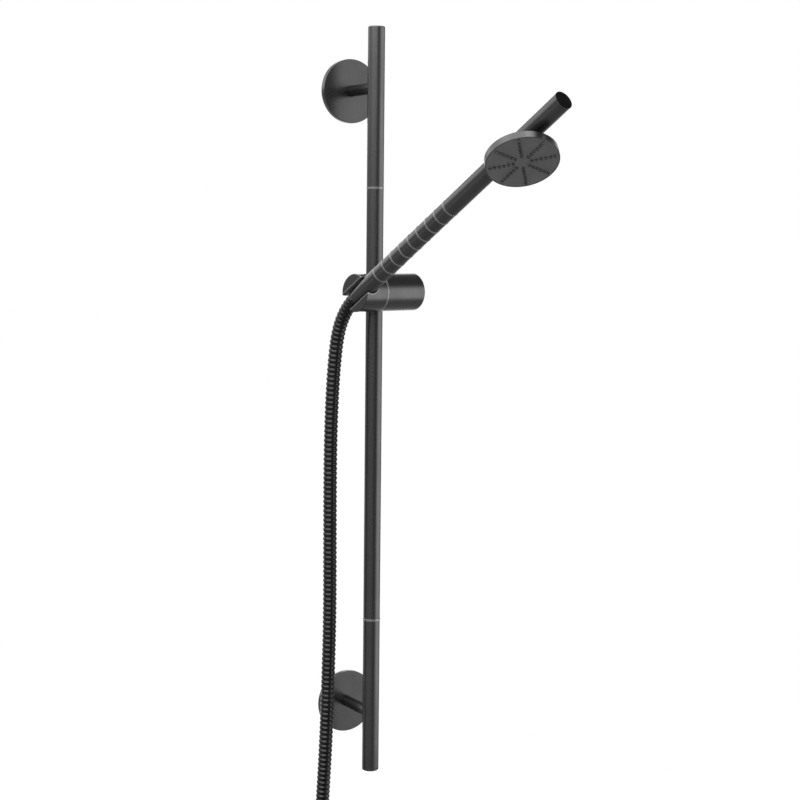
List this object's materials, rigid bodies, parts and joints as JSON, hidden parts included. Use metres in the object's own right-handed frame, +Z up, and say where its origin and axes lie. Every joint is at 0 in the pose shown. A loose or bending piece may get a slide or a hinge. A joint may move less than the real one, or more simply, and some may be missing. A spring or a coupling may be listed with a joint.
{
  "type": "shower slide rail",
  "caption": "Wall-mounted shower slide rail with sliding, swivelling holder, round-headed hand shower and ribbed hose.",
  "frame": {"origin": "in the wall face, midway between the two wall brackets", "axes": "+X to the right facing the wall, +Y into the wall, +Z up along the rail"},
  "size_m": [0.1401, 0.36, 1.028],
  "materials": {
    "coated_metal": "matte black coating on brass",
    "grey_plastic": "light grey moulded plastic",
    "spray_plastic": "moulded dark grey plastic",
    "nozzle_rubber": "moulded silicone rubber",
    "hose_skin": "glossy black ribbed plastic",
    "guide_plastic": "moulded black plastic",
    "plain_brass": "turned",
    "stainless": "turned or pressed"
  },
  "bodies": {
    "rail": {"rail_tube": "coated_metal", "rail_cap_top": "coated_metal", "rail_cap_bottom": "coated_metal", "stop_ring_upper": "grey_plastic", "stop_ring_lower": "grey_plastic", "wall_plate_upper": "stainless", "rose_upper": "coated_metal", "post_upper": "coated_metal", "post_stud_upper": "stainless", "grub_screw_upper": "stainless", "rail_insert_upper": "plain_brass", "wall_plate_lower": "stainless", "rose_lower": "coated_metal", "post_lower": "coated_metal", "post_stud_lower": "stainless", "grub_screw_lower": "stainless", "rail_insert_lower": "plain_brass"},
    "carriage": {"guide_bush_upper": "guide_plastic", "guide_bush_lower": "guide_plastic", "friction_ring": "nozzle_rubber"},
    "slider": {"slider_body": "coated_metal", "slider_end_cap": "coated_metal", "seam_ring": "grey_plastic", "hose_run": "hose_skin", "hose_coil": "hose_skin", "hose_tie": "guide_plastic", "hose_end_ferrule": "plain_brass", "union_nut": "coated_metal", "union_seal": "nozzle_rubber"},
    "holder": {"holder": "coated_metal", "slot_liner": "grey_plastic", "pivot_spindle": "stainless", "spring_washer": "stainless", "spindle_nut": "stainless", "handle_tube": "coated_metal", "grip_ring_1": "grey_plastic", "grip_ring_2": "grey_plastic", "grip_ring_3": "grey_plastic", "grip_ring_4": "grey_plastic", "grip_ring_5": "grey_plastic", "grip_ring_6": "grey_plastic", "grip_ring_7": "grey_plastic", "grip_ring_8": "grey_plastic", "grip_ring_9": "grey_plastic", "handle_cap": "guide_plastic", "hose_ferrule": "plain_brass", "hose_washer": "nozzle_rubber", "handle_connector": "plain_brass", "head_shell": "coated_metal", "spray_face": "spray_plastic", "nozzle_mat": "nozzle_rubber", "hose_top": "hose_skin"}
  },
  "joints": [
    {"name": "rail_slide", "type": "slide", "parent": "rail", "child": "carriage", "axis": [0, 0, 1], "range_m": [-0.3339, 0.0891]},
    {"name": "rail_swivel", "type": "hinge", "parent": "carriage", "child": "slider", "pos_m": [0, -0.0575, 0.1224], "axis": [0, 0, 1], "range_deg": [-35, 35]},
    {"name": "holder_tilt", "type": "hinge", "parent": "slider", "child": "holder", "pos_m": [0.00402, -0.07709, 0.1224], "axis": [0.9796, 0.2011, 0], "range_deg": [-30, 30], "deforming": ["hose_top"]}
  ]
}
